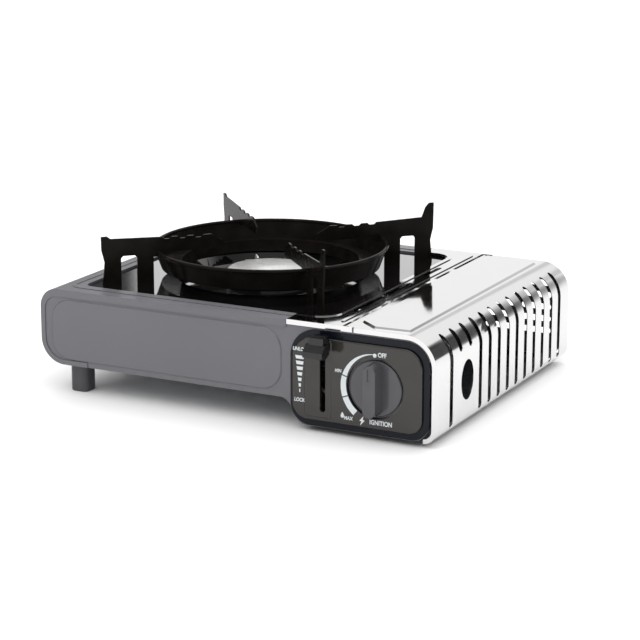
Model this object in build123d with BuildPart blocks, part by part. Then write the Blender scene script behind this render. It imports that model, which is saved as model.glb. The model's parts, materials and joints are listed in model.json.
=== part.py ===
"""Portable single-burner camping stove with a hinged cartridge lid.

Frame: millimetres, +Z up, the knob side faces -Y, the cartridge bay is on +X.
The origin is on the ground under the centre of the stove.
"""

import os
from math import atan2, cos, degrees, radians, sin

from build123d import *

os.makedirs("parts", exist_ok=True)

# ---------------------------------------------------------------- driving dimensions
HALF_WIDTH = 170.0  # half of the overall width along X
FRONT_Y = -122.0  # front face of the casing
BACK_Y = 142.0  # rear face of the casing
MID_Y = (FRONT_Y + BACK_Y) / 2
TOP_Z = 84.0  # top face of the casing and of the lid
BASE_Z = 23.5  # underside of the burner compartment
BAY_BASE_Z = 4.5  # underside of the cartridge bay
SHEET = 0.8  # painted steel sheet
LID_SHEET = 0.6  # stainless sheet of the lid
TOP_CORNER_R = 15.0
LOW_CORNER_R = 20.5
FLANGE = 3.8  # front and rear returns of the casing
TOP_FLANGE = 5.8
SEAM_X = -128.0  # where the wrapped casing meets the bottom plate
SHELL_END_X = 47.6
PANEL_Y = FRONT_Y + SHEET  # front surface of the front panel
PANEL_INSET = 1.1
PANEL_TOP_Z = 82.5
PANEL_RIGHT_X = 164.5
FIELD_RISE = 1.0  # pressed-out field of the panels

OPENING_LEFT_X = -142.5  # opening for the drip tray
OPENING_FRONT_Y = -102.0
OPENING_BACK_Y = 122.0
LEDGE_Z = 80.8
BEAD_LEFT_X = -152.0  # pressed bead round the top rim
BEAD_DEPTH_Y = 243.0

BURNER_X = -35.9
BURNER_Y = MID_Y
TRAY_Z = 82.4  # upper surface of the drip tray
WELL_R = 79.0
WELL_DEPTH = 8.8

PLATE_Z = 84.4  # bright centre plate
PLATE_LEFT_X = 48.0
PLATE_RIGHT_X = 93.5
PLATE_LIP_X = 102.3
PLATE_CUT_X = 73.5  # right side of the tray opening in the plate

HINGE_X = 97.5  # lid hinge axis, along Y
HINGE_Z = 81.0
HINGE_PIN_R = 1.5
LID_LEFT_X = 95.5
LID_BAND_X = 103.5
LID_CREASE_X = 146.0
LID_CORNER_R = 24.0
LID_LOW_R = 10.0
LID_END_Z = 4.0
LID_BAND = 3.4

FASCIA_LEFT_X = 51.5
FASCIA_RIGHT_X = 165.0
FASCIA_LOW_Z = 5.2
FASCIA_TOP_Z = 79.2
FASCIA_Y = -124.4  # front surface of the fascia
FASCIA_BORDER = 5.2  # low border round the raised face
GUIDE_X = 75.5  # raised guide round the lever slot

KNOB_X = 122.4
KNOB_Z = 41.0
KNOB_R = 21.1
KNOB_GRIP_Y = -136.0
KNOB_DISC_Y = -123.8
SPINDLE_R = 3.0

LEVER_X = 79.7
LEVER_TRAVEL = 46.0
LEVER_PIN_Y = -109.0
LEVER_PIN_Z = 71.0
YOKE_TRAVEL = 5.0

GAS_X = 133.0  # cartridge and inlet axis
GAS_Z = 44.0
JET_Y = -88.0
JET_Z = 46.0
PARTITION_X = 90.0

RUNNING = 0.05  # radial clearance of shafts and pins


def save(builder, name):
    """Label a finished piece and write it."""
    builder.part.label = name
    export_step(builder.part, f"parts/{name}.step")


def casing_face(inset, top_z, low_z, right_x):
    """Closed outline of the rounded left end of the casing, in the XZ plane."""
    top_r = TOP_CORNER_R - inset
    low_r = LOW_CORNER_R - inset
    left_x = -HALF_WIDTH + inset
    with BuildSketch(Plane.XZ) as outline:
        with BuildLine():
            Polyline((left_x + top_r, top_z), (right_x, top_z), (right_x, low_z), (left_x + low_r, low_z))
            RadiusArc((left_x + low_r, low_z), (left_x, low_z + low_r), low_r)
            Line((left_x, low_z + low_r), (left_x, top_z - top_r))
            RadiusArc((left_x, top_z - top_r), (left_x + top_r, top_z), top_r)
        make_face()
    return outline.sketch


def at_y(face, y):
    """Move an XZ outline to a depth."""
    return Plane.XZ.offset(-y).location * (Plane.XZ.location.inverse() * face)


# ---------------------------------------------------------------- casing
with BuildPart() as body_shell:
    add(extrude(at_y(casing_face(0, TOP_Z, BASE_Z, SHELL_END_X), FRONT_Y), BACK_Y - FRONT_Y, dir=(0, 1, 0)))
    inner = casing_face(SHEET, TOP_Z - SHEET, BASE_Z + SHEET, SHELL_END_X + 1)
    depth = BACK_Y - FRONT_Y - 2 * SHEET
    add(extrude(at_y(inner, FRONT_Y + SHEET), depth, dir=(0, 1, 0)), mode=Mode.SUBTRACT)
    band = casing_face(FLANGE, TOP_Z - TOP_FLANGE, BASE_Z + FLANGE, SHELL_END_X + 1)
    add(extrude(at_y(band, FRONT_Y), BACK_Y - FRONT_Y, dir=(0, 1, 0)), mode=Mode.SUBTRACT)
    # the bottom is open to the right of the seam
    with BuildSketch(Plane.XY.offset(BASE_Z)):
        with Locations(((SEAM_X + SHELL_END_X) / 2, MID_Y)):
            Rectangle(SHELL_END_X - SEAM_X, BACK_Y - FRONT_Y)
    extrude(amount=FLANGE, mode=Mode.SUBTRACT)
    # tray opening with a pressed-down ledge all round
    opening_x = SHELL_END_X - OPENING_LEFT_X
    opening_y = OPENING_BACK_Y - OPENING_FRONT_Y
    with BuildSketch(Plane.XY.offset(TOP_Z - SHEET)):
        with Locations((OPENING_LEFT_X + opening_x, MID_Y)):
            RectangleRounded(2 * opening_x, opening_y, 8)
    extrude(amount=SHEET, mode=Mode.SUBTRACT)
    with BuildSketch(Plane.XY.offset(LEDGE_Z)):
        with Locations((OPENING_LEFT_X + opening_x, MID_Y)):
            RectangleRounded(2 * opening_x + 2 * SHEET, opening_y + 2 * SHEET, 8 + SHEET)
            RectangleRounded(2 * opening_x, opening_y, 8, mode=Mode.SUBTRACT)
        with Locations((SHELL_END_X + 100, MID_Y)):
            Rectangle(200, 300, mode=Mode.SUBTRACT)
    extrude(amount=TOP_Z - LEDGE_Z)
    with BuildSketch(Plane.XY.offset(LEDGE_Z - SHEET)):
        with Locations((OPENING_LEFT_X + opening_x, MID_Y)):
            RectangleRounded(2 * opening_x + 2 * SHEET, opening_y + 2 * SHEET, 8 + SHEET)
            RectangleRounded(2 * opening_x - 10, opening_y - 10, 5, mode=Mode.SUBTRACT)
        with Locations((SHELL_END_X + 100, MID_Y)):
            Rectangle(200, 300, mode=Mode.SUBTRACT)
    extrude(amount=SHEET)
    # shallow bead pressed into the rim
    with BuildSketch(Plane.XY.offset(TOP_Z)):
        with Locations((SHELL_END_X, MID_Y)):
            RectangleRounded(2 * (SHELL_END_X - BEAD_LEFT_X), BEAD_DEPTH_Y, 12)
            RectangleRounded(2 * (SHELL_END_X - BEAD_LEFT_X - 3), BEAD_DEPTH_Y - 6, 9, mode=Mode.SUBTRACT)
        with Locations((SHELL_END_X + 150, MID_Y)):
            Rectangle(300, 300, mode=Mode.SUBTRACT)
    extrude(amount=0.5)
save(body_shell, "body_shell")


def panel_sketch(plane):
    """Front and rear panel outline: deep under the bay, shallow under the burner."""
    left_x = -HALF_WIDTH + PANEL_INSET
    top_r = TOP_CORNER_R - PANEL_INSET
    low_r = LOW_CORNER_R - PANEL_INSET
    low_z = BASE_Z + PANEL_INSET
    bay_z = BAY_BASE_Z
    with BuildSketch(plane) as outline:
        with BuildLine():
            Line((left_x + top_r, PANEL_TOP_Z), (PANEL_RIGHT_X - 20, PANEL_TOP_Z))
            RadiusArc((PANEL_RIGHT_X - 20, PANEL_TOP_Z), (PANEL_RIGHT_X, PANEL_TOP_Z - 20), 20)
            Line((PANEL_RIGHT_X, PANEL_TOP_Z - 20), (PANEL_RIGHT_X, bay_z + 14))
            RadiusArc((PANEL_RIGHT_X, bay_z + 14), (PANEL_RIGHT_X - 14, bay_z), 14)
            Line((PANEL_RIGHT_X - 14, bay_z), (64, bay_z))
            Bezier((64, bay_z), (53, bay_z), (54, BASE_Z), (42, BASE_Z))
            Polyline((42, BASE_Z), (SEAM_X + 0.4, BASE_Z), (SEAM_X + 0.4, low_z), (left_x + low_r, low_z))
            RadiusArc((left_x + low_r, low_z), (left_x, low_z + low_r), low_r)
            Line((left_x, low_z + low_r), (left_x, PANEL_TOP_Z - top_r))
            RadiusArc((left_x, PANEL_TOP_Z - top_r), (left_x + top_r, PANEL_TOP_Z), top_r)
        make_face()
    return outline.sketch


def field_sketch(plane, shrink):
    """Pressed-out field on the plain part of a panel."""
    width = 203.5 - 2 * shrink
    height = 48.6 - 2 * shrink
    with BuildSketch(plane) as field:
        with Locations((-58.25, 52.1)):
            RectangleRounded(width, height, 17 - shrink)
    return field.sketch


def rounded_slot(x, z, width, height):
    """A slot with round ends in the current XZ sketch."""
    with Locations((x, z)):
        RectangleRounded(width, height, min(width, height) / 2 - 0.01)


with BuildPart() as front_panel:
    add(extrude(panel_sketch(Plane.XZ.offset(-PANEL_Y)), -SHEET))
    add(extrude(field_sketch(Plane.XZ.offset(-PANEL_Y), 0), FIELD_RISE))
    chamfer(front_panel.faces().sort_by(Axis.Y)[0].edges(), 0.8)
    add(extrude(field_sketch(Plane.XZ.offset(-PANEL_Y - SHEET), SHEET + 0.3), FIELD_RISE), mode=Mode.SUBTRACT)
    # bottom return under the burner compartment
    with BuildSketch(Plane.XY.offset(BASE_Z)):
        with Locations(((SEAM_X + 42) / 2, PANEL_Y + SHEET + 2)):
            Rectangle(42 - SEAM_X - 1, 4)
    extrude(amount=SHEET)
    # spindle hole and lever slot
    with BuildSketch(Plane.XZ.offset(-PANEL_Y)):
        with Locations((KNOB_X, KNOB_Z)):
            Circle(8)
        rounded_slot(LEVER_X, 47, 6, 60)
    extrude(amount=-SHEET, mode=Mode.SUBTRACT)
save(front_panel, "front_panel")

REAR_PANEL_Y = BACK_Y - SHEET  # outer surface of the rear panel
with BuildPart() as rear_panel:
    add(extrude(panel_sketch(Plane.XZ.offset(-REAR_PANEL_Y)), SHEET))
    add(extrude(field_sketch(Plane.XZ.offset(-REAR_PANEL_Y), 0), -SHEET))
    add(extrude(field_sketch(Plane.XZ.offset(-REAR_PANEL_Y), SHEET + 0.3), SHEET), mode=Mode.SUBTRACT)
    # louvres into the cartridge bay and low air slots for the burner
    with BuildSketch(Plane.XZ.offset(-REAR_PANEL_Y - 1)):
        for row in range(5):
            for column_x in (110.5, 142.5):
                rounded_slot(column_x, 25.8 + 10.05 * row, 26, 5)
        for column in range(5):
            rounded_slot(-110 + 26 * column, 40, 16, 4)
    extrude(amount=4, both=True, mode=Mode.SUBTRACT)
save(rear_panel, "rear_panel")

with BuildPart() as bottom_plate:
    with BuildSketch(Plane.XY.offset(BASE_Z)):
        with Locations(((SEAM_X + 0.5 + 46) / 2, MID_Y)):
            Rectangle(46 - SEAM_X - 0.5, BACK_Y - FRONT_Y - 14)
        with GridLocations(30, 12, 3, 4):
            SlotOverall(18, 4, mode=Mode.SUBTRACT)
    extrude(amount=SHEET)
save(bottom_plate, "bottom_plate")

with BuildPart() as cartridge_tray:
    with BuildSketch(Plane.XZ.offset(-(PANEL_Y + SHEET + 0.2))):
        with BuildLine():
            Polyline((46.4, BASE_Z), (46.4, BASE_Z + SHEET), (48.2, BASE_Z + SHEET), (60.6, BAY_BASE_Z + SHEET),
                     (157.2, BAY_BASE_Z + SHEET), (157.2, 13), (158, 13), (158, BAY_BASE_Z),
                     (60, BAY_BASE_Z), (47.8, BASE_Z), close=True)
        make_face()
    extrude(amount=-(BACK_Y - FRONT_Y - 4 * SHEET - 0.4))
    # raised locating rib for the cartridge rim
    with BuildSketch(Plane.XY.offset(BAY_BASE_Z + SHEET)):
        with Locations((GAS_X, 128)):
            Rectangle(30, 3)
    extrude(amount=4)
save(cartridge_tray, "cartridge_tray")

with BuildPart() as bay_partition:
    with BuildSketch(Plane.YZ.offset(PARTITION_X)):
        with Locations((MID_Y, (BAY_BASE_Z + SHEET + 81) / 2)):
            Rectangle(BACK_Y - FRONT_Y - 5, 81 - BAY_BASE_Z - SHEET)
        with Locations((JET_Y, JET_Z)):
            Circle(9, mode=Mode.SUBTRACT)
        with Locations((LEVER_PIN_Y, 48)):
            RectangleRounded(9, 58, 2, mode=Mode.SUBTRACT)
        with Locations((-100, 14)):
            Circle(3, mode=Mode.SUBTRACT)
        with Locations((40, 60), (70, 60), (100, 60)):
            SlotOverall(20, 4, mode=Mode.SUBTRACT)
    extrude(amount=SHEET)
save(bay_partition, "bay_partition")

with BuildPart() as centre_plate:
    with BuildSketch(Plane.XY.offset(PLATE_Z - SHEET)):
        with Locations(((PLATE_LEFT_X + PLATE_RIGHT_X) / 2, MID_Y)):
            Rectangle(PLATE_RIGHT_X - PLATE_LEFT_X, BACK_Y - FRONT_Y)
        for end_y, sign in ((FRONT_Y, 1), (BACK_Y, -1)):
            with Locations(((PLATE_RIGHT_X + PLATE_LIP_X) / 2, end_y + sign * 0.75)):
                Rectangle(PLATE_LIP_X - PLATE_RIGHT_X, 1.5)
        with Locations((PLATE_LEFT_X - 30, MID_Y)):
            RectangleRounded(2 * (PLATE_CUT_X - PLATE_LEFT_X + 30), opening_y, 14, mode=Mode.SUBTRACT)
        for slot_y, slot_length in ((-51, 54), (1, 42), (64, 30)):
            with Locations((82.6, slot_y)):
                SlotOverall(slot_length, 4, rotation=90, mode=Mode.SUBTRACT)
    extrude(amount=SHEET)
    # front and rear lips
    for lip_y in (FRONT_Y, BACK_Y - SHEET):
        with BuildSketch(Plane.XZ.offset(-lip_y)):
            with Locations(((PLATE_LEFT_X + PLATE_LIP_X) / 2, PLATE_Z - 1.9)):
                Rectangle(PLATE_LIP_X - PLATE_LEFT_X, 3.8)
        extrude(amount=-SHEET)
    # bead round the tray opening, a straight bead, and the fold down beside the lid
    with BuildSketch(Plane.XY.offset(PLATE_Z)):
        with Locations((PLATE_LEFT_X, MID_Y)):
            RectangleRounded(2 * (PLATE_CUT_X - PLATE_LEFT_X + 4.8), opening_y + 9.6, 18.8)
            RectangleRounded(2 * (PLATE_CUT_X - PLATE_LEFT_X + 1.0), opening_y + 2, 15, mode=Mode.SUBTRACT)
        with Locations((PLATE_LEFT_X - 150, MID_Y)):
            Rectangle(300, 300, mode=Mode.SUBTRACT)
        with Locations((88.4, MID_Y)):
            SlotOverall(240, 3.0, rotation=90)
    extrude(amount=0.7)
    with BuildSketch(Plane.YZ.offset(PLATE_RIGHT_X - SHEET)):
        with Locations((MID_Y, PLATE_Z - 1.5)):
            Rectangle(BACK_Y - FRONT_Y - 8, 3)
    extrude(amount=SHEET)
save(centre_plate, "centre_plate")

with BuildPart() as drip_tray:
    with BuildSketch(Plane.XY.offset(TRAY_Z - SHEET)):
        with Locations(((OPENING_LEFT_X + 1 + 79) / 2, MID_Y)):
            RectangleRounded(79 - OPENING_LEFT_X - 1, opening_y - 2, 7)
        with Locations((BURNER_X, BURNER_Y)):
            Circle(WELL_R - 1, mode=Mode.SUBTRACT)
    extrude(amount=SHEET)
    with BuildSketch(Plane.XZ.offset(-BURNER_Y)):
        with BuildLine():
            Polyline((BURNER_X + WELL_R, TRAY_Z - SHEET), (BURNER_X + WELL_R, TRAY_Z),
                     (BURNER_X + WELL_R - 1.2, TRAY_Z), (BURNER_X + WELL_R - 4.2, TRAY_Z - WELL_DEPTH),
                     (BURNER_X + 34.0, TRAY_Z - WELL_DEPTH), (BURNER_X + 34.0, TRAY_Z - WELL_DEPTH + 3.2),
                     (BURNER_X + 33.2, TRAY_Z - WELL_DEPTH + 3.2),
                     (BURNER_X + 33.2, TRAY_Z - WELL_DEPTH - SHEET),
                     (BURNER_X + WELL_R - 3.6, TRAY_Z - WELL_DEPTH - SHEET),
                     (BURNER_X + WELL_R - 0.8, TRAY_Z - SHEET), close=True)
        make_face()
    revolve(axis=Axis((BURNER_X, BURNER_Y, 0), (0, 0, 1)))
    # hole for the ignition electrode
    with BuildSketch(Plane.XY.offset(TRAY_Z - WELL_DEPTH - SHEET)):
        with Locations((BURNER_X - 31, BURNER_Y + 31)):
            Circle(4)
    extrude(amount=SHEET, mode=Mode.SUBTRACT)
save(drip_tray, "drip_tray")

# ---------------------------------------------------------------- lid and hinge


def lid_face(inset, left_x, low_z):
    """Closed outline of the lid section, in the XZ plane."""
    side_x = HALF_WIDTH - inset
    top_z = TOP_Z - inset
    corner_r = LID_CORNER_R - inset
    low_r = LID_LOW_R - inset
    with BuildSketch(Plane.XZ) as outline:
        with BuildLine():
            Line((left_x, top_z), (LID_CREASE_X, top_z))
            RadiusArc((LID_CREASE_X, top_z), (side_x, TOP_Z - LID_CORNER_R), corner_r)
            Line((side_x, TOP_Z - LID_CORNER_R), (side_x, LID_END_Z + LID_LOW_R))
            RadiusArc((side_x, LID_END_Z + LID_LOW_R), (HALF_WIDTH - LID_LOW_R, low_z), low_r)
            Polyline((HALF_WIDTH - LID_LOW_R, low_z), (left_x, low_z), (left_x, top_z))
        make_face()
    return outline.sketch


SLOT_PITCH = 17.92
SLOT_WIDTH = 5.8
SLOT_FIRST_Y = -94.4
with BuildPart() as lid:
    lid_depth = BACK_Y - FRONT_Y
    add(extrude(at_y(lid_face(0, LID_LEFT_X, LID_END_Z), FRONT_Y), lid_depth, dir=(0, 1, 0)))
    hollow = lid_face(LID_SHEET, LID_LEFT_X - 1, LID_END_Z + LID_SHEET)
    hollow_depth = lid_depth - 2 * LID_SHEET
    add(extrude(at_y(hollow, FRONT_Y + LID_SHEET), hollow_depth, dir=(0, 1, 0)), mode=Mode.SUBTRACT)
    mouth = lid_face(LID_BAND, LID_LEFT_X - 1, LID_END_Z + LID_BAND)
    add(extrude(at_y(mouth, FRONT_Y), lid_depth, dir=(0, 1, 0)), mode=Mode.SUBTRACT)
    # the underside is open, up to the curled lower edge
    with BuildSketch(Plane.XY.offset(LID_END_Z - 1)):
        with Locations(((HALF_WIDTH - LID_LOW_R + LID_LEFT_X - 1) / 2, MID_Y)):
            Rectangle(HALF_WIDTH - LID_LOW_R - LID_LEFT_X + 1, lid_depth)
    extrude(amount=LID_BAND + 2, mode=Mode.SUBTRACT)
    # corner notches beside the centre plate lips
    for notch_y in (FRONT_Y + 1, BACK_Y - 1):
        with BuildSketch(Plane.XY.offset(TOP_Z - 6)):
            with Locations(((LID_LEFT_X + LID_BAND_X) / 2 - 1, notch_y)):
                Rectangle(LID_BAND_X - LID_LEFT_X + 2, 2.4)
        extrude(amount=7, mode=Mode.SUBTRACT)
    # raised panel on the top
    with BuildSketch(Plane.XY.offset(TOP_Z)):
        with BuildLine():
            Polyline((101.5, -103), (117, -115.5), (145.6, -113.5), (145.6, 128.5), (117, 133), (101.5, 124),
                     close=True)
        make_face()
    extrude(amount=1.3, taper=45)
    # vent slots over the corner and down the side
    with BuildSketch(Plane.YZ.offset(158.0)):
        for index in range(13):
            slot_low_z = 63.7 if index in (1, 2) else 10.4
            with Locations((SLOT_FIRST_Y + SLOT_PITCH * index, (80.0 + slot_low_z) / 2)):
                RectangleRounded(SLOT_WIDTH, 80.0 - slot_low_z, SLOT_WIDTH / 2 - 0.1)
        # finger and view hole
        with Locations((-65.1, 39.5)):
            Ellipse(11.3, 15.5)
    extrude(amount=14, mode=Mode.SUBTRACT)
    # hinge ears folded down at both ends
    for ear_y in (FRONT_Y + 2.4, BACK_Y - 2.4 - SHEET):
        with BuildSketch(Plane.XZ.offset(-ear_y)):
            with Locations((HINGE_X, HINGE_Z)):
                Circle(3.4)
            with Locations((HINGE_X + 1.5, (HINGE_Z + TOP_Z - LID_SHEET) / 2)):
                Rectangle(3, TOP_Z - LID_SHEET - HINGE_Z)
            with Locations((HINGE_X, HINGE_Z)):
                Circle(HINGE_PIN_R + RUNNING, mode=Mode.SUBTRACT)
        extrude(amount=-SHEET)
save(lid, "lid")

with BuildPart() as hinge_pins:
    for pin_y, head_y in ((PANEL_Y + SHEET, FRONT_Y + 2.4 + SHEET + 0.3),
                          (BACK_Y - 2 * SHEET, BACK_Y - 2.4 - SHEET - 0.3)):
        side = 1 if pin_y < 0 else -1
        with BuildSketch(Plane.XZ.offset(-pin_y)):
            with Locations((HINGE_X, HINGE_Z)):
                Circle(HINGE_PIN_R)
        extrude(amount=-(head_y - pin_y) - side * 1.0)
        with BuildSketch(Plane.XZ.offset(-head_y)):
            with Locations((HINGE_X, HINGE_Z)):
                Circle(HINGE_PIN_R + 0.6)
        extrude(amount=-side)
save(hinge_pins, "hinge_pins")

# ---------------------------------------------------------------- fascia and controls
def fascia_sketch(plane, inset):
    """Outline of the fascia with unequal corner radii, set in evenly, half as much on the left."""
    left = FASCIA_LEFT_X + inset / 2
    right = FASCIA_RIGHT_X - inset
    low = FASCIA_LOW_Z + inset
    top = FASCIA_TOP_Z - inset
    top_left, top_right, low_right, low_left = (r - 0.8 * inset for r in (22, 19, 15, 16))
    with BuildSketch(plane) as outline:
        with BuildLine():
            Line((left + top_left, top), (right - top_right, top))
            RadiusArc((right - top_right, top), (right, top - top_right), top_right)
            Line((right, top - top_right), (right, low + low_right))
            RadiusArc((right, low + low_right), (right - low_right, low), low_right)
            Line((right - low_right, low), (left + low_left, low))
            RadiusArc((left + low_left, low), (left, low + low_left), low_left)
            Line((left, low + low_left), (left, top - top_left))
            RadiusArc((left, top - top_left), (left + top_left, top), top_left)
        make_face()
    return outline.sketch


with BuildPart() as fascia:
    add(extrude(fascia_sketch(Plane.XZ.offset(-PANEL_Y), 0), 0.9))
    add(extrude(fascia_sketch(Plane.XZ.offset(-PANEL_Y), FASCIA_BORDER), PANEL_Y - FASCIA_Y))
    fillet(fascia.faces().sort_by(Axis.Y)[0].edges(), 1.0)
    # raised guide around the lever slot
    with BuildSketch(Plane.XZ.offset(-FASCIA_Y)):
        with Locations((GUIDE_X, 43)):
            RectangleRounded(22.5, 60, 2.0)
    extrude(amount=0.6, taper=45)
    with BuildSketch(Plane.XZ.offset(-PANEL_Y)):
        with Locations((KNOB_X, KNOB_Z)):
            Circle(KNOB_R + 1.9)
        rounded_slot(LEVER_X, 47, 4.6, 59)
    extrude(amount=6, mode=Mode.SUBTRACT)
save(fascia, "fascia")

with BuildPart() as control_knob:
    with BuildSketch(Plane.XZ.offset(-(PANEL_Y - 0.3))):
        with Locations((KNOB_X, KNOB_Z)):
            Circle(KNOB_R)
    extrude(amount=PANEL_Y - 0.3 - KNOB_DISC_Y)
    chamfer(control_knob.faces().sort_by(Axis.Y)[0].edges(), 0.6)
    with BuildSketch(Plane.XZ.offset(-KNOB_DISC_Y)):
        with Locations((KNOB_X, KNOB_Z)):
            SlotOverall(2 * KNOB_R - 1.4, 12, rotation=90)
    extrude(amount=KNOB_DISC_Y - KNOB_GRIP_Y, taper=4)
    fillet(control_knob.faces().sort_by(Axis.Y)[0].edges(), 1.0)
    # pointer groove at the top of the grip
    with BuildSketch(Plane.XZ.offset(-KNOB_GRIP_Y)):
        with Locations((KNOB_X, KNOB_Z + 13)):
            Rectangle(2.2, 9)
    extrude(amount=-0.6, mode=Mode.SUBTRACT)
    # blind socket for the spindle
    with BuildSketch(Plane.XZ.offset(-(PANEL_Y - 0.3))):
        with Locations((KNOB_X, KNOB_Z)):
            Circle(SPINDLE_R + 0.02)
    extrude(amount=10, mode=Mode.SUBTRACT)
save(control_knob, "control_knob")

with BuildPart() as valve_spindle:
    with BuildSketch(Plane.XZ.offset(131)):
        with Locations((KNOB_X, KNOB_Z)):
            Circle(SPINDLE_R)
    extrude(amount=-33)
save(valve_spindle, "valve_spindle")

CAM_TOOTH_ANGLE = 120.0
with BuildPart() as ignition_cam:
    with BuildSketch(Plane.XZ.offset(118)):
        with Locations((KNOB_X, KNOB_Z)):
            Circle(8.5)
            with Locations(Location((0, 0, 0), CAM_TOOTH_ANGLE)):
                with Locations((9.4, 0)):
                    RectangleRounded(5.2, 5, 1.2)
        with Locations((KNOB_X, KNOB_Z)):
            Circle(SPINDLE_R + 0.02, mode=Mode.SUBTRACT)
    extrude(amount=-5)
save(ignition_cam, "ignition_cam")

with BuildPart() as piezo_igniter:
    with BuildSketch(Plane.XY.offset(BAY_BASE_Z + SHEET)):
        with Locations((KNOB_X, -115)):
            RectangleRounded(12, 9.6, 1.5)
    extrude(amount=19)
    with BuildSketch(Plane.XY.offset(BAY_BASE_Z + SHEET + 19)):
        with Locations((KNOB_X, -115)):
            Circle(2.4)
    extrude(amount=3.2)
save(piezo_igniter, "piezo_igniter")

with BuildPart() as lock_lever:
    # handle body, thumb lip and the stem through the slot
    with BuildSketch(Plane.XY.offset(LEVER_PIN_Z - 6)):
        with Locations((LEVER_X, -131.3)):
            RectangleRounded(12.5, 11.4, 1.2)
    extrude(amount=12)
    with BuildSketch(Plane.YZ.offset(LEVER_X - 8)):
        with BuildLine():
            Polyline((-142, 62.8), (-142, 67.2), (-137, 71.8), (-130, 71.8), (-130, 64), (-137.5, 61.2), close=True)
        make_face()
    extrude(amount=16)
    with BuildSketch(Plane.XZ.offset(125.8)):
        with Locations((LEVER_X, LEVER_PIN_Z)):
            Rectangle(4.2, 8)
    extrude(amount=-8.8)
save(lock_lever, "lock_lever")

with BuildPart() as lever_slide:
    with BuildSketch(Plane.XZ.offset(117)):
        with Locations((LEVER_X + 1.4, LEVER_PIN_Z)):
            Rectangle(10, 14)
    extrude(amount=-1.2)
    with BuildSketch(Plane.YZ.offset(LEVER_X + 5.2)):
        with Locations((LEVER_PIN_Y - 2.5, LEVER_PIN_Z)):
            Rectangle(11, 8)
    extrude(amount=1.2)
    with BuildSketch(Plane.YZ.offset(LEVER_X + 6.4)):
        with Locations((LEVER_PIN_Y, LEVER_PIN_Z)):
            Circle(2.0)
    extrude(amount=9)
save(lever_slide, "lever_slide")

YOKE_X = 92.0
YOKE_RING_Y = -60.0
YOKE_FRONT_Y = -114.6
with BuildPart() as cartridge_yoke:
    slot_low_y = LEVER_PIN_Y + YOKE_TRAVEL
    slot_low_z = LEVER_PIN_Z - LEVER_TRAVEL
    slot_angle = degrees(atan2(LEVER_TRAVEL, -YOKE_TRAVEL))
    slot_run = (LEVER_TRAVEL**2 + YOKE_TRAVEL**2) ** 0.5
    with BuildSketch(Plane.YZ.offset(YOKE_X)):
        with BuildLine():
            Polyline((YOKE_FRONT_Y, 18), (-98, 18), (-98, 60), (YOKE_RING_Y, 60), (YOKE_RING_Y, 74), (-98, 77),
                     (YOKE_FRONT_Y, 77), close=True)
        make_face()
        with Locations(Location(((LEVER_PIN_Y + slot_low_y) / 2, (LEVER_PIN_Z + slot_low_z) / 2), slot_angle)):
            SlotCenterToCenter(slot_run + 1, 4.4, mode=Mode.SUBTRACT)
    extrude(amount=1.5)
    # ring that presses on the cartridge collar, open at the bottom
    with BuildSketch(Plane.XZ.offset(-YOKE_RING_Y)):
        with Locations((GAS_X, GAS_Z)):
            Circle(26)
        with Locations(((YOKE_X + GAS_X) / 2, 65)):
            Rectangle(GAS_X - YOKE_X, 10)
        with Locations((GAS_X, GAS_Z)):
            Circle(17, mode=Mode.SUBTRACT)
        with Locations((GAS_X, GAS_Z - 20)):
            Rectangle(34, 40, mode=Mode.SUBTRACT)
    extrude(amount=-1.5)
save(cartridge_yoke, "cartridge_yoke")

# ---------------------------------------------------------------- gas train
with BuildPart() as regulator_body:
    with BuildSketch(Plane.XZ.offset(98)):
        with Locations((GAS_X + 0.5, GAS_Z)):
            RectangleRounded(40, 30, 4)
    extrude(amount=-26)
    # valve neck towards the knob
    with BuildSketch(Plane.XZ.offset(108)):
        with Locations((KNOB_X, KNOB_Z)):
            Circle(7)
    extrude(amount=-10)
    # inlet boss towards the cartridge
    with BuildSketch(Plane.XZ.offset(72)):
        with Locations((GAS_X, GAS_Z)):
            Circle(12)
    extrude(amount=-12)
    # outlet towards the burner
    with BuildSketch(Plane.YZ.offset(GAS_X - 19.5)):
        with Locations((JET_Y, JET_Z)):
            Circle(7)
    extrude(amount=-6)
    # mounting foot on the bay floor
    with BuildSketch(Plane.XY.offset(BAY_BASE_Z + SHEET)):
        with Locations((GAS_X + 5, -85)):
            Rectangle(10, 18)
    extrude(amount=25)
    # bores: spindle, cartridge inlet and jet thread
    with BuildSketch(Plane.XZ.offset(108)):
        with Locations((KNOB_X, KNOB_Z)):
            Circle(SPINDLE_R + RUNNING)
    extrude(amount=-14, mode=Mode.SUBTRACT)
    with BuildSketch(Plane.XZ.offset(60)):
        with Locations((GAS_X, GAS_Z)):
            Circle(6.0)
    extrude(amount=8, mode=Mode.SUBTRACT)
    with BuildSketch(Plane.XZ.offset(68)):
        with Locations((GAS_X, GAS_Z)):
            Circle(5.0)
    extrude(amount=4, mode=Mode.SUBTRACT)
    with BuildSketch(Plane.YZ.offset(GAS_X - 25.5)):
        with Locations((JET_Y, JET_Z)):
            Circle(4.0)
    extrude(amount=10, mode=Mode.SUBTRACT)
save(regulator_body, "regulator_body")

CAP_X = GAS_X + 20.5
with BuildPart() as regulator_cap:
    with BuildSketch(Plane.YZ.offset(CAP_X)):
        with Locations((-85, GAS_Z)):
            Circle(16)
    extrude(amount=4)
    with BuildSketch(Plane.YZ.offset(CAP_X + 4)):
        with Locations((-85, GAS_Z)):
            Circle(9)
    extrude(amount=3.5, taper=10)
save(regulator_cap, "regulator_cap")

with BuildPart() as regulator_screws:
    with BuildSketch(Plane.YZ.offset(CAP_X + 4)):
        with Locations((-85, GAS_Z)):
            with PolarLocations(12.6, 4, 45):
                Circle(2.2)
    extrude(amount=1.5)
save(regulator_screws, "regulator_screws")

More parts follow.
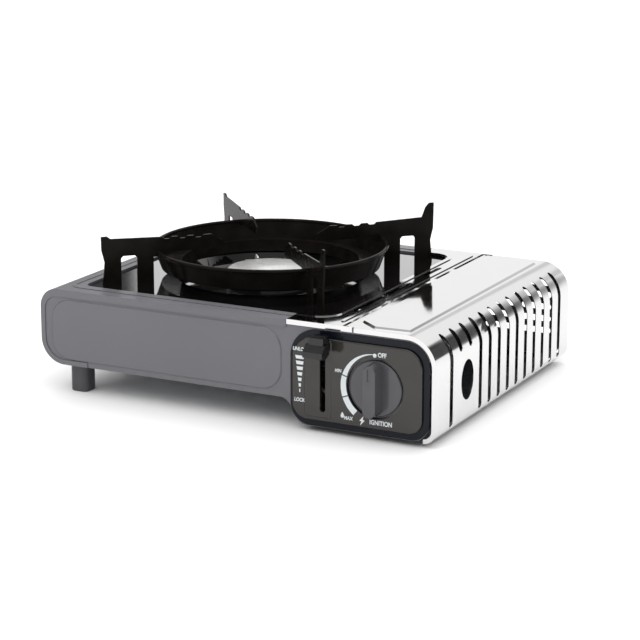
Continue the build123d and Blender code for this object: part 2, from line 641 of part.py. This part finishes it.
with BuildPart() as inlet_seal:
    with BuildSketch(Plane.XZ.offset(69)):
        with Locations((GAS_X, GAS_Z)):
            Circle(4.9)
            Circle(2.4, mode=Mode.SUBTRACT)
    extrude(amount=2)
save(inlet_seal, "inlet_seal")

with BuildPart() as injector_jet:
    with BuildSketch(Plane.YZ.offset(GAS_X - 15.6)):
        with Locations((JET_Y, JET_Z)):
            Circle(3.95)
    extrude(amount=-14)
    with BuildSketch(Plane.YZ.offset(GAS_X - 26)):
        with Locations((JET_Y, JET_Z)):
            RegularPolygon(5.5, 6)
    extrude(amount=-5)
    with BuildSketch(Plane.YZ.offset(GAS_X - 31)):
        with Locations((JET_Y, JET_Z)):
            Circle(3.2)
    extrude(amount=-16, taper=2)
save(injector_jet, "injector_jet")

TUBE_R = 9.0
TUBE_TURN_R = 34.0
with BuildPart() as mixing_tube:
    with BuildLine() as tube_path:
        FilletPolyline((84, JET_Y, JET_Z), (BURNER_X, JET_Y, JET_Z), (BURNER_X, BURNER_Y - 31, JET_Z),
                       radius=TUBE_TURN_R)
    with BuildSketch(Plane.YZ.offset(84)):
        with Locations((JET_Y, JET_Z)):
            Circle(TUBE_R)
            Circle(TUBE_R - 1.2, mode=Mode.SUBTRACT)
    sweep(path=tube_path.line)
save(mixing_tube, "mixing_tube")

with BuildPart() as air_shutter:
    with BuildSketch(Plane.YZ.offset(58)):
        with Locations((JET_Y, JET_Z)):
            Circle(TUBE_R + 1.3)
            Circle(TUBE_R + 0.1, mode=Mode.SUBTRACT)
    extrude(amount=22)
    with BuildSketch(Plane.XY.offset(JET_Z)):
        with Locations((69, JET_Y)):
            Rectangle(8, 10)
    extrude(amount=14, mode=Mode.SUBTRACT)
save(air_shutter, "air_shutter")

with BuildPart() as burner_head:
    with BuildSketch(Plane.XZ.offset(-BURNER_Y)):
        with BuildLine():
            Polyline((BURNER_X, 36), (BURNER_X + 15, 36), (BURNER_X + 15, 58), (BURNER_X + 31, 68),
                     (BURNER_X + 31, 80), (BURNER_X + 28.5, 80), (BURNER_X + 28.5, 69.5),
                     (BURNER_X + 12.5, 59.5), (BURNER_X + 12.5, 39), (BURNER_X, 39), close=True)
        make_face()
    revolve(axis=Axis((BURNER_X, BURNER_Y, 0), (0, 0, 1)))
    # inlet collar over the end of the mixing tube
    with BuildSketch(Plane.XZ.offset(-(BURNER_Y - 30.8))):
        with Locations((BURNER_X, JET_Z)):
            Circle(TUBE_R)
    extrude(amount=-19)
    with BuildSketch(Plane.XZ.offset(-(BURNER_Y - 30.8))):
        with Locations((BURNER_X, JET_Z)):
            Circle(TUBE_R - 2)
    extrude(amount=-20, mode=Mode.SUBTRACT)
save(burner_head, "burner_head")

with BuildPart() as burner_cap:
    with BuildSketch(Plane.XZ.offset(-BURNER_Y)):
        with BuildLine():
            Polyline((BURNER_X, 80), (BURNER_X + 26.5, 80), (BURNER_X + 26.5, 76), (BURNER_X + 28, 76),
                     (BURNER_X + 28, 80), (BURNER_X + 36, 80), (BURNER_X + 36.5, 84), (BURNER_X + 34, 86),
                     (BURNER_X, 87.8), close=True)
        make_face()
    revolve(axis=Axis((BURNER_X, BURNER_Y, 0), (0, 0, 1)))
    # flame ports round the edge
    with BuildSketch(Plane.XY.offset(80)):
        with Locations((BURNER_X, BURNER_Y)):
            with PolarLocations(34.5, 36):
                Rectangle(6, 1.8)
    extrude(amount=2.2, mode=Mode.SUBTRACT)
save(burner_cap, "burner_cap")

with BuildPart() as burner_bracket:
    with BuildSketch(Plane.XZ.offset(-(BURNER_Y - 9))):
        with BuildLine():
            Polyline((BURNER_X - 40, BASE_Z + SHEET), (BURNER_X - 22, BASE_Z + SHEET), (BURNER_X - 22, 34.5),
                     (BURNER_X + 22, 34.5), (BURNER_X + 22, BASE_Z + SHEET), (BURNER_X + 40, BASE_Z + SHEET),
                     (BURNER_X + 40, BASE_Z + 2.3), (BURNER_X + 23.5, BASE_Z + 2.3), (BURNER_X + 23.5, 36),
                     (BURNER_X - 23.5, 36), (BURNER_X - 23.5, BASE_Z + 2.3), (BURNER_X - 40, BASE_Z + 2.3),
                     close=True)
        make_face()
    extrude(amount=-18)
save(burner_bracket, "burner_bracket")

ELECTRODE_X = BURNER_X - 31
ELECTRODE_Y = BURNER_Y + 31
with BuildPart() as electrode:
    with BuildSketch(Plane.XY.offset(60)):
        with Locations((ELECTRODE_X, ELECTRODE_Y)):
            Circle(2.5)
    extrude(amount=22)
    with BuildSketch(Plane.XY.offset(70)):
        with Locations((ELECTRODE_X, ELECTRODE_Y)):
            Circle(3.4)
    extrude(amount=2.6)
save(electrode, "electrode")

with BuildPart() as electrode_pin:
    with BuildLine() as pin_path:
        toward = cos(radians(45))
        FilletPolyline((ELECTRODE_X, ELECTRODE_Y, 82), (ELECTRODE_X, ELECTRODE_Y, 87.2),
                       (ELECTRODE_X + 6.4 * toward, ELECTRODE_Y - 6.4 * toward, 86.6), radius=2.0)
    with BuildSketch(Plane.XY.offset(82)):
        with Locations((ELECTRODE_X, ELECTRODE_Y)):
            Circle(0.9)
    sweep(path=pin_path.line)
save(electrode_pin, "electrode_pin")

with BuildPart() as electrode_bracket:
    with BuildSketch(Plane.XY.offset(TRAY_Z - WELL_DEPTH)):
        with Locations(Location((ELECTRODE_X - 3, ELECTRODE_Y + 3), 135)):
            RectangleRounded(26, 9, 2)
        with Locations((ELECTRODE_X, ELECTRODE_Y)):
            Circle(2.6, mode=Mode.SUBTRACT)
    extrude(amount=1.0)
    with BuildSketch(Plane.XY.offset(TRAY_Z - WELL_DEPTH + 1)):
        with Locations(Location((ELECTRODE_X - 11, ELECTRODE_Y + 11), 135)):
            Rectangle(1.2, 9)
    extrude(amount=5)
save(electrode_bracket, "electrode_bracket")

with BuildPart() as ignition_wire:
    with BuildLine() as wire_path:
        FilletPolyline((115.5, -115, 14), (104, -115, 14), (98, -100, 14), (80, -100, 14), (62, -100, 32),
                       (-40, -104, 32), (-78, -60, 32), (-78, 10, 32), (ELECTRODE_X, ELECTRODE_Y, 32),
                       (ELECTRODE_X, ELECTRODE_Y, 60), radius=5)
    with BuildSketch(Plane(origin=(115.5, -115, 14), z_dir=(-1, 0, 0))):
        Circle(1.2)
    sweep(path=wire_path.line)
save(ignition_wire, "ignition_wire")

with BuildPart() as cartridge_saddles:
    for saddle_y in (-38, 92):
        with BuildSketch(Plane.XZ.offset(-saddle_y)):
            with Locations((GAS_X, 11)):
                Rectangle(40, 11.4)
            with Locations((GAS_X, GAS_Z)):
                Circle(33.5, mode=Mode.SUBTRACT)
        extrude(amount=-6)
save(cartridge_saddles, "cartridge_saddles")

# ---------------------------------------------------------------- pan support
RIM_Z = 105.1
RIM_R = 93.2
ARM_SHEET = 1.4
SUPPORT_ANGLES = {"front_right": -45, "back_right": 45, "back_left": 135, "front_left": -135}

with BuildPart() as support_ring:
    with BuildSketch(Plane.XZ.offset(-BURNER_Y)):
        with BuildLine():
            Polyline((BURNER_X + RIM_R + 0.4, RIM_Z - 1), (BURNER_X + 88.2, 89.2), (BURNER_X + 72.4, 92.2),
                     (BURNER_X + 71.2, 84.2), (BURNER_X + 70.0, 84.2), (BURNER_X + 71.2, 93.6),
                     (BURNER_X + 87.3, 90.7), (BURNER_X + RIM_R - 1.0, RIM_Z), close=True)
        make_face()
        with Locations((BURNER_X + RIM_R, RIM_Z)):
            Circle(1.6)
    revolve(axis=Axis((BURNER_X, BURNER_Y, 0), (0, 0, 1)))
    # notches in the rim for the arms
    with BuildSketch(Plane.XY.offset(RIM_Z - 3.1)):
        with Locations((BURNER_X, BURNER_Y)):
            with PolarLocations(RIM_R, 4, 45):
                Rectangle(12, ARM_SHEET + 0.1)
    extrude(amount=8, mode=Mode.SUBTRACT)
save(support_ring, "support_ring")


def arm_outline(plane, tall):
    """Edge outline of one pan support arm, radius along x and height along y."""
    tip = [(139, 110), (139.2, 119.5), (139.4, 131), (135.5, 131), (132.4, 127.5), (129.2, 119.4)]
    nub = [(139, 110), (139.2, 120.8), (134.2, 121), (131.5, 118.8)]
    with BuildSketch(plane) as outline:
        with BuildLine():
            Polyline([(97, 82.4), (97, 102.2), (88, 102.6), (84, 105.4), (40.5, 105.6), (39.2, 111.5),
                      (45, 114.6), (50, 117.6)]
                     + [(56, 117.4), (58, 115.8), (62, 115.8), (64, 117.5), (69, 117.5), (71, 115.9),
                        (75, 115.9), (77, 117.6), (82, 117.7), (84, 116.1), (88, 116.2), (90, 117.9)]
                     + (tip if tall else nub)[::-1]
                     + [(136.6, 100), (138.4, 82.4), (123.3, 82.4), (123.3, 102.7), (121.5, 104.5),
                        (112.2, 104.5), (110.4, 102.7), (110.4, 82.4)], close=True)
        make_face()
    return outline.sketch


for arm_name, arm_angle in SUPPORT_ANGLES.items():
    along = (cos(radians(arm_angle)), sin(radians(arm_angle)), 0)
    across = (along[1], -along[0], 0)
    arm_plane = Plane(origin=(BURNER_X, BURNER_Y, 0), x_dir=along, z_dir=across)
    with BuildPart() as support_arm:
        add(extrude(arm_outline(arm_plane, "right" in arm_name), ARM_SHEET / 2, both=True))
    save(support_arm, f"support_arm_{arm_name}")

# ---------------------------------------------------------------- feet and screws
for foot_name, foot_y in (("front_left_foot", -105), ("back_left_foot", 125)):
    with BuildPart() as tall_foot:
        with BuildSketch():
            with Locations((-143, foot_y)):
                RectangleRounded(16, 16, 5)
        extrude(amount=BASE_Z)
        chamfer(tall_foot.faces().sort_by(Axis.Z)[0].edges(), 0.8)
    save(tall_foot, foot_name)

for foot_name, foot_y in (("front_right_foot", -100), ("back_right_foot", 120)):
    with BuildPart() as low_foot:
        with BuildSketch():
            with Locations((146, foot_y)):
                Circle(6.5)
        extrude(amount=BAY_BASE_Z)
    save(low_foot, foot_name)

with BuildPart() as rear_screws:
    with BuildSketch(Plane.XZ.offset(-REAR_PANEL_Y)):
        with Locations((60, 74), (60, 20), (80, 74), (158, 18)):
            Circle(2.6)
    extrude(amount=-0.8)
save(rear_screws, "rear_screws")

with BuildPart() as base_screws:
    with BuildSketch(Plane.XY.offset(BASE_Z - 1.2)):
        with Locations((BURNER_X - 32, BURNER_Y), (BURNER_X + 32, BURNER_Y), (-120, -95), (-120, 115)):
            Circle(3)
    extrude(amount=1.2)
save(base_screws, "base_screws")
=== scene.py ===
"""Looks of the camping stove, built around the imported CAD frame. Metres, +Z up."""

import json
import math

import bmesh
import bpy
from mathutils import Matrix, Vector

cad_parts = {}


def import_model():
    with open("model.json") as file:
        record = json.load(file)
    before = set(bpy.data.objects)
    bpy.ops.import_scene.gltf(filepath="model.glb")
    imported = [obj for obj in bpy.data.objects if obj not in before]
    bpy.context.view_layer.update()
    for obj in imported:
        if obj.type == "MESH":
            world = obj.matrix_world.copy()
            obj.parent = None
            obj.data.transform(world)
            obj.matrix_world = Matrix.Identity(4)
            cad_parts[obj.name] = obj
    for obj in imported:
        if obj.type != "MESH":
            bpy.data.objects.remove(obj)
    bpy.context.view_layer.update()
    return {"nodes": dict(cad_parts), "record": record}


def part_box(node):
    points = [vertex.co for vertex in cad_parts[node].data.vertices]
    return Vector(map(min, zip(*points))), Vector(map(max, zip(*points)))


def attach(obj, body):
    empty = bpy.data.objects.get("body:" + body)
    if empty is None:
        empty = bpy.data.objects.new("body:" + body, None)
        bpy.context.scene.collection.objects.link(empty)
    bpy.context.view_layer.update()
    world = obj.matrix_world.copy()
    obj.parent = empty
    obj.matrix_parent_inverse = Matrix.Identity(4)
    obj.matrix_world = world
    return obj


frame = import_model()
nodes = frame["nodes"]
MM = 0.001


def place(name, data):
    """A new object in the scene, with this mesh, curve, light or camera."""
    placed = bpy.data.objects.new(name, data)
    bpy.context.scene.collection.objects.link(placed)
    return placed


# ---------------------------------------------------------------- node material helpers


class Mat:
    """A Principled material with a few helpers for procedural detail in object space."""

    def __init__(self, name, color, rough=0.5, metal=0.0, coat=0.0, coat_rough=0.1, ior=1.5,
                 specular=0.5):
        self.material = bpy.data.materials.new(name)
        self.material.use_nodes = True
        self.tree = self.material.node_tree
        self.shader = self.tree.nodes["Principled BSDF"]
        self.color = color
        self.set("Base Color", (*color, 1))
        self.set("Roughness", rough)
        self.set("Metallic", metal)
        self.set("Coat Weight", coat)
        self.set("Coat Roughness", coat_rough)
        self.set("IOR", ior)
        self.set("Specular IOR Level", specular)
        self.coord = self.add("ShaderNodeTexCoord")

    def add(self, kind, **props):
        node = self.tree.nodes.new(kind)
        for key, value in props.items():
            setattr(node, key, value)
        return node

    def link(self, source, target):
        self.tree.links.new(source, target)

    def set(self, socket, value):
        self.shader.inputs[socket].default_value = value

    def noise(self, scale, detail=3.0, stretch=(1, 1, 1)):
        """Noise in object space; stretch scales each axis."""
        mapping = self.add("ShaderNodeMapping")
        mapping.inputs["Scale"].default_value = stretch
        self.link(self.coord.outputs["Object"], mapping.inputs["Vector"])
        texture = self.add("ShaderNodeTexNoise")
        texture.inputs["Scale"].default_value = scale
        texture.inputs["Detail"].default_value = detail
        self.link(mapping.outputs["Vector"], texture.inputs["Vector"])
        return texture.outputs["Fac"]

    def range(self, fac, low, high, from_low=0.3, from_high=0.7):
        node = self.add("ShaderNodeMapRange")
        node.inputs["From Min"].default_value = from_low
        node.inputs["From Max"].default_value = from_high
        node.inputs["To Min"].default_value = low
        node.inputs["To Max"].default_value = high
        self.link(fac, node.inputs["Value"])
        return node.outputs["Result"]

    def vary_color(self, fac, dark, light, low=0.3, high=0.7):
        """Base colour between dark and light, which multiply the material's colour."""
        ramp = self.add("ShaderNodeValToRGB")
        ramp.color_ramp.elements[0].position = low
        ramp.color_ramp.elements[1].position = high
        ramp.color_ramp.elements[0].color = (*[c * dark for c in self.color], 1)
        ramp.color_ramp.elements[1].color = (*[min(1, c * light) for c in self.color], 1)
        self.link(fac, ramp.inputs["Fac"])
        self.link(ramp.outputs["Color"], self.shader.inputs["Base Color"])

    def vary_rough(self, fac, low, high):
        self.link(self.range(fac, low, high), self.shader.inputs["Roughness"])

    def bump(self, fac, strength, distance):
        node = self.add("ShaderNodeBump")
        node.inputs["Strength"].default_value = strength
        node.inputs["Distance"].default_value = distance
        self.link(fac, node.inputs["Height"])
        if self.shader.inputs["Normal"].links:
            self.link(self.shader.inputs["Normal"].links[0].from_socket, node.inputs["Normal"])
        self.link(node.outputs["Normal"], self.shader.inputs["Normal"])


def grey_paint():
    mat = Mat("grey_paint", (0.128, 0.126, 0.138), rough=0.34)
    mat.vary_color(mat.noise(9, 2), 0.96, 1.04)
    mat.vary_rough(mat.noise(300, 2), 0.30, 0.38)
    mat.bump(mat.noise(1500, 3), 0.12, 0.0001)
    return mat


def stainless_mirror():
    mat = Mat("stainless_mirror", (0.70, 0.692, 0.69), rough=0.07, metal=1.0)
    mat.vary_rough(mat.noise(60, 4), 0.045, 0.09)
    mat.bump(mat.noise(18, 2), 0.10, 0.0004)
    return mat


def inner_steel():
    mat = Mat("inner_steel", (0.42, 0.43, 0.45), rough=0.38, metal=1.0)
    mat.vary_color(mat.noise(140, 4), 0.8, 1.1)
    mat.vary_rough(mat.noise(240, 3), 0.30, 0.48)
    return mat


def black_enamel():
    mat = Mat("black_enamel", (0.0050, 0.0045, 0.0045), rough=0.05, coat=1.0, coat_rough=0.03,
              ior=1.55)
    mat.vary_color(mat.noise(35, 3), 0.8, 1.3)
    mat.vary_rough(mat.noise(120, 3), 0.03, 0.08)
    mat.bump(mat.noise(140, 2), 0.10, 0.0003)
    return mat


def support_enamel():
    """Black enamel, duller than the drip tray's. Its specular level is lower than real enamel's."""
    mat = Mat("support_enamel", (0.0072, 0.0060, 0.0052), rough=0.18, specular=0.06)
    mat.vary_color(mat.noise(60, 3), 0.7, 1.5)
    mat.vary_rough(mat.noise(150, 3), 0.12, 0.24)
    mat.bump(mat.noise(170, 3), 0.22, 0.0004)
    return mat


# near-black colour for the cartridge bay's inner parts: painted shade for the dark inside of the closed
# bay, seen through the lid's slots
def bay_paint():
    mat = Mat("bay_paint", (0.010, 0.012, 0.020), rough=0.4)
    mat.vary_color(mat.noise(80, 3), 0.8, 1.3)
    mat.vary_rough(mat.noise(300, 2), 0.34, 0.5)
    return mat


def plastic(name, color, rough, grain, specular=0.5):
    mat = Mat(name, color, rough=rough, specular=specular)
    mat.vary_color(mat.noise(40, 2), 0.92, 1.08)
    mat.vary_rough(mat.noise(500, 2), rough * 0.8, rough * 1.25)
    mat.bump(mat.noise(2200, 2), grain, 0.0001)
    return mat


def rubber(name, color):
    mat = Mat(name, color, rough=0.8)
    mat.vary_color(mat.noise(90, 4), 0.85, 1.2)
    mat.bump(mat.noise(1800, 3), 0.3, 0.0001)
    return mat


def cast_alloy():
    mat = Mat("cast_alloy", (0.78, 0.78, 0.77), rough=0.34, metal=1.0)
    mat.vary_color(mat.noise(180, 4), 0.88, 1.08)
    mat.vary_rough(mat.noise(700, 3, (1, 1, 0.1)), 0.26, 0.42)
    mat.bump(mat.noise(900, 4), 0.15, 0.0002)
    return mat


def zinc_steel():
    mat = Mat("zinc_steel", (0.62, 0.62, 0.60), rough=0.3, metal=1.0)
    mat.vary_color(mat.noise(220, 5), 0.85, 1.08)
    mat.vary_rough(mat.noise(400, 3), 0.22, 0.4)
    return mat


def brass():
    mat = Mat("brass", (0.72, 0.52, 0.23), rough=0.28, metal=1.0)
    mat.vary_color(mat.noise(200, 4), 0.88, 1.06)
    mat.vary_rough(mat.noise(600, 2), 0.2, 0.36)
    return mat


def white_ceramic():
    mat = Mat("white_ceramic", (0.82, 0.80, 0.74), rough=0.2, coat=0.5)
    mat.vary_color(mat.noise(150, 3), 0.92, 1.03)
    return mat


def wire_insulation():
    mat = Mat("wire_insulation", (0.65, 0.62, 0.55), rough=0.45)
    mat.vary_color(mat.noise(120, 2), 0.92, 1.05)
    return mat


# near-black navy, darker than the fascia's own black plastic: painted shade for the border channel round
# the raised face
def fascia_painted_shade_border():
    mat = Mat("fascia_painted_shade_border", (0.0035, 0.0048, 0.0090), rough=0.22, specular=0.22)
    mat.vary_color(mat.noise(60, 2), 0.85, 1.15)
    mat.vary_rough(mat.noise(400, 2), 0.18, 0.27)
    return mat


def print_ink():
    mat = Mat("print_ink", (0.68, 0.72, 0.74), rough=0.5)
    mat.vary_color(mat.noise(900, 2), 0.95, 1.03)
    return mat


MATERIALS = {
    "grey_paint": grey_paint(),
    "inner_steel": inner_steel(),
    "stainless_mirror": stainless_mirror(),
    "bay_paint": bay_paint(),
    "black_enamel": black_enamel(),
    "support_enamel": support_enamel(),
    "black_plastic": plastic("black_plastic", (0.027, 0.024, 0.020), 0.10, 0.04),
    "knob_plastic": plastic("knob_plastic", (0.068, 0.068, 0.075), 0.14, 0.05),
    "lever_plastic": plastic("lever_plastic", (0.006, 0.006, 0.0065), 0.18, 0.08),
    "foot_plastic": plastic("foot_plastic", (0.058, 0.058, 0.064), 0.45, 0.15),
    "foot_rubber": rubber("foot_rubber", (0.03, 0.03, 0.032)),
    "cast_alloy": cast_alloy(),
    "brass": brass(),
    "zinc_steel": zinc_steel(),
    "white_ceramic": white_ceramic(),
    "seal_rubber": rubber("seal_rubber", (0.02, 0.02, 0.02)),
    "wire_insulation": wire_insulation(),
}

for part in frame["record"]["subparts"]:
    node = nodes[part["node"]]
    node.data.materials.clear()
    node.data.materials.append(MATERIALS[part["material_slot"]].material)
    for polygon in node.data.polygons:
        polygon.use_smooth = True

# the low border round the fascia's raised face gets a darker, bluer material than the face: painted shade
# for the channel round the raised face
fascia = nodes["fascia"]
fascia.data.materials.append(fascia_painted_shade_border().material)
FACE_DEPTH = 1.6 * MM  # from the front of the fascia to behind its raised face
border_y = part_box("fascia")[0].y + FACE_DEPTH
for polygon in fascia.data.polygons:
    if (fascia.matrix_world @ polygon.center).y > border_y:
        polygon.material_index = 1

# ---------------------------------------------------------------- printed marks
INK = print_ink().material
GUIDE_RISE = 0.6 * MM  # how far the lever's guide stands out of the fascia's flat face
FASCIA_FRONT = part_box("fascia")[0].y + GUIDE_RISE
KNOB_LOW, KNOB_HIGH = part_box("control_knob")
DIAL = Vector(((KNOB_LOW.x + KNOB_HIGH.x) / 2, 0, (KNOB_LOW.z + KNOB_HIGH.z) / 2))
INK_DEPTH = 0.06 * MM
ARC_R = 25.9 * MM  # middle of the flow scale round the knob
LEVER_MARK_X = 60.5 * MM
BAR_HALF = 1.3 * MM  # half height of a lever mark
BAR_TAPER = 0.82  # a mark's lower width over its upper width
WORD_NARROWING = 0.84


def flat_piece(name, outlines, y):
    """Thin raised print: closed outlines of (x, z), in metres, lying on a plane of constant y."""
    mesh = bpy.data.meshes.new(name)
    build = bmesh.new()
    for outline in outlines:
        front = [build.verts.new((x, y - INK_DEPTH, z)) for x, z in outline]
        back = [build.verts.new((x, y + INK_DEPTH, z)) for x, z in outline]
        build.faces.new(front)
        build.faces.new(back[::-1])
        for i in range(len(outline)):
            j = (i + 1) % len(outline)
            build.faces.new((front[j], front[i], back[i], back[j]))
    bmesh.ops.recalc_face_normals(build, faces=build.faces)
    build.to_mesh(mesh)
    build.free()
    piece = place(name, mesh)
    mesh.materials.append(INK)
    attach(piece, "root")


def arc_band(start, end, start_width, end_width, steps=24):
    """Outline of a band round the dial, angles in degrees anticlockwise from +X."""
    outer, inner = [], []
    for i in range(steps + 1):
        t = i / steps
        angle = math.radians(start + (end - start) * t)
        half = (start_width + (end_width - start_width) * t) / 2
        for side, radius in ((outer, ARC_R + half), (inner, ARC_R - half)):
            side.append((DIAL.x + radius * math.cos(angle), DIAL.z + radius * math.sin(angle)))
    return outer + inner[::-1]


def disc(x, z, radius, steps=24):
    angles = [2 * math.pi * i / steps for i in range(steps)]
    return [(x + radius * math.cos(angle), z + radius * math.sin(angle)) for angle in angles]


def word(name, text, x, z, height, lean):
    """A short generic word, printed flat on the fascia, centred on x and z."""
    curve = bpy.data.curves.new(name, "FONT")
    curve.body = text
    curve.size = height
    curve.align_x = "CENTER"
    curve.align_y = "CENTER"
    curve.extrude = INK_DEPTH
    curve.offset = height * 0.03
    curve.shear = lean
    piece = place(name, curve)
    piece.rotation_euler = (math.radians(90), 0, 0)
    piece.scale = (WORD_NARROWING, 1, 1)
    piece.location = (x, FASCIA_FRONT, z)
    curve.materials.append(INK)
    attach(piece, "root")


flat_piece("dial_scale", [
    arc_band(94, 163.5, 0.4 * MM, 3.9 * MM),
    arc_band(165.5, 199, 4.1 * MM, 4.6 * MM),
    arc_band(201, 232, 4.6 * MM, 4.9 * MM),
    disc(DIAL.x - 0.5 * MM, DIAL.z + 25.3 * MM, 1.5 * MM),
], FASCIA_FRONT)
flat_piece("dial_bolt", [[
    (DIAL.x + dx * MM, DIAL.z + dz * MM)
    for dx, dz in ((-9.4, -22.0), (-12.6, -25.9), (-10.9, -26.1),
                   (-12.0, -29.4), (-8.2, -25.2), (-9.9, -25.0))
]], FASCIA_FRONT)
flat_piece("dial_flame", [[
    (DIAL.x + (-26.6 + dx) * MM, DIAL.z + (-23.4 + dz) * MM)
    for dx, dz in ((0, 2.4), (1.3, 0.5), (1.5, -1.0), (0.7, -2.1),
                   (-0.7, -2.1), (-1.5, -1.0), (-1.1, 0.5))
]], FASCIA_FRONT)
bars = []
for i in range(7):
    half_width = (3.8 - 0.56 * i) * MM
    mark_z = (57.3 - 4.28 * i) * MM
    bars.append([(LEVER_MARK_X - half_width, mark_z + BAR_HALF),
                 (LEVER_MARK_X + half_width, mark_z + BAR_HALF),
                 (LEVER_MARK_X + half_width * BAR_TAPER, mark_z - BAR_HALF),
                 (LEVER_MARK_X - half_width * BAR_TAPER, mark_z - BAR_HALF)])
flat_piece("lever_bars", bars, FASCIA_FRONT)
for name, text, x, z, height, lean in (
        ("word_unlock", "UNLOCK", 61.4, 63.4, 3.9, 0.15),
        ("word_lock", "LOCK", 60.1, 24.4, 3.9, 0.15),
        ("word_off", "OFF", 127.9, 66.9, 4.7, 0),
        ("word_min", "MIN", 92.1, 51.0, 3.5, 0.15),
        ("word_max", "MAX", 100.6, 15.6, 3.9, 0.15),
        ("word_ignition", "IGNITION", 127.2, 15.2, 4.9, 0)):
    word(name, text, x * MM, z * MM, height * MM, lean)

# ---------------------------------------------------------------- studio
TARGET = Vector((0, 0.010, 0.050))
AZIMUTH = math.radians(27.31)
ELEVATION = math.radians(14.66)
DISTANCE = 1.808
BACK_LIGHT = 1.12
FRONT_LIGHT = 0.3
TOP_LIGHT = 1.8
SCREEN_DIMMING = 0.93
SEAM_DIMMING = 0.3
CANOPY_DIMMING = 0.7

camera_data = bpy.data.cameras.new("camera")
camera_data.lens = 126.6
camera_data.sensor_width = 36.0
camera_data.shift_x = 0.0149
camera_data.shift_y = -0.0059
camera = place("camera", camera_data)
back = Vector((math.sin(AZIMUTH) * math.cos(ELEVATION),
               -math.cos(AZIMUTH) * math.cos(ELEVATION),
               math.sin(ELEVATION)))
camera.location = TARGET + back * DISTANCE
camera.rotation_euler = (-back).to_track_quat("-Z", "Y").to_euler()
bpy.context.scene.camera = camera


def floor():
    mesh = bpy.data.meshes.new("studio_floor")
    build = bmesh.new()
    bmesh.ops.create_grid(build, x_segments=2, y_segments=2, size=6)
    build.to_mesh(mesh)
    build.free()
    piece = place("studio_floor", mesh)
    mat = Mat("floor", (0.93, 0.93, 0.93), rough=0.9)
    mat.vary_color(mat.noise(0.5, 1), 0.995, 1.0)
    mesh.materials.append(mat.material)


def area_light(name, location, target, size, power):
    data = bpy.data.lights.new(name, "AREA")
    data.energy = power
    data.size = size
    light = place(name, data)
    light.location = location
    light.rotation_euler = (Vector(location) - Vector(target)).to_track_quat("Z", "Y").to_euler()
    light.visible_glossy = False


def world():
    """Bright backdrop behind the part, a bright ceiling and a dim room in front.

    Dark screens at the two ends of the backdrop, a faint seam across it and a dimmer patch of the ceiling
    draw the lines in the mirror steel and enamel.
    """
    scene_world = bpy.data.worlds.new("studio")
    bpy.context.scene.world = scene_world
    scene_world.use_nodes = True
    tree = scene_world.node_tree

    def step(value, low, high, out_low=0.0, out_high=1.0):
        node = tree.nodes.new("ShaderNodeMapRange")
        node.interpolation_type = "SMOOTHSTEP"
        limits = {"From Min": low, "From Max": high, "To Min": out_low, "To Max": out_high}
        for socket, number in limits.items():
            node.inputs[socket].default_value = number
        tree.links.new(value, node.inputs["Value"])
        return node.outputs["Result"]

    def calc(operation, first, second):
        node = tree.nodes.new("ShaderNodeMath")
        node.operation = operation
        for socket, value in zip(node.inputs, (first, second)):
            if isinstance(value, float):
                socket.default_value = value
            else:
                tree.links.new(value, socket)
        return node.outputs["Value"]

    def times(first, second):
        return calc("MULTIPLY", first, second)

    def dimmed(light, mask, amount):
        return times(light, calc("SUBTRACT", 1.0, times(mask, amount)))

    coord = tree.nodes.new("ShaderNodeTexCoord")
    split = tree.nodes.new("ShaderNodeSeparateXYZ")
    tree.links.new(coord.outputs["Generated"], split.inputs["Vector"])
    x, y, z = split.outputs
    around = calc("ARCTAN2", x, y)  # zero straight behind the part, positive to its right
    above_floor = step(z, 0.0, 0.04)

    backdrop = step(y, 0.1, 0.5, FRONT_LIGHT, BACK_LIGHT)
    ceiling = step(z, 0.46, 0.62)
    level = calc("ADD", times(backdrop, calc("SUBTRACT", 1.0, ceiling)), times(ceiling, TOP_LIGHT))

    seam = times(step(z, 0.30, 0.34), step(z, 0.42, 0.38))
    level = dimmed(level, seam, SEAM_DIMMING)

    slant = calc("ADD", around, times(z, 0.49))
    right_screen = times(times(step(slant, 0.44, 0.52), step(around, 0.74, 0.66)),
                         times(above_floor, step(z, 0.52, 0.46)))
    left_screen = times(step(around, -0.548, -0.562), times(above_floor, step(z, 0.48, 0.4)))
    screens = calc("MINIMUM", calc("ADD", right_screen, left_screen), 1.0)
    level = dimmed(level, screens, SCREEN_DIMMING)

    canopy = times(times(step(y, 0.05, -0.05), step(y, -0.62, -0.5)),
                   times(step(z, 0.72, 0.78), step(x, -0.2, -0.35)))
    level = dimmed(level, canopy, CANOPY_DIMMING)
    tree.links.new(level, tree.nodes["Background"].inputs["Strength"])
    tree.nodes["Background"].inputs["Color"].default_value = (1, 1, 1, 1)


floor()
world()
area_light("front_fill", (-0.5, -1.8, 1.5), (0, 0, 0.05), 2.2, 16)
bpy.context.scene.view_settings.view_transform = "Standard"
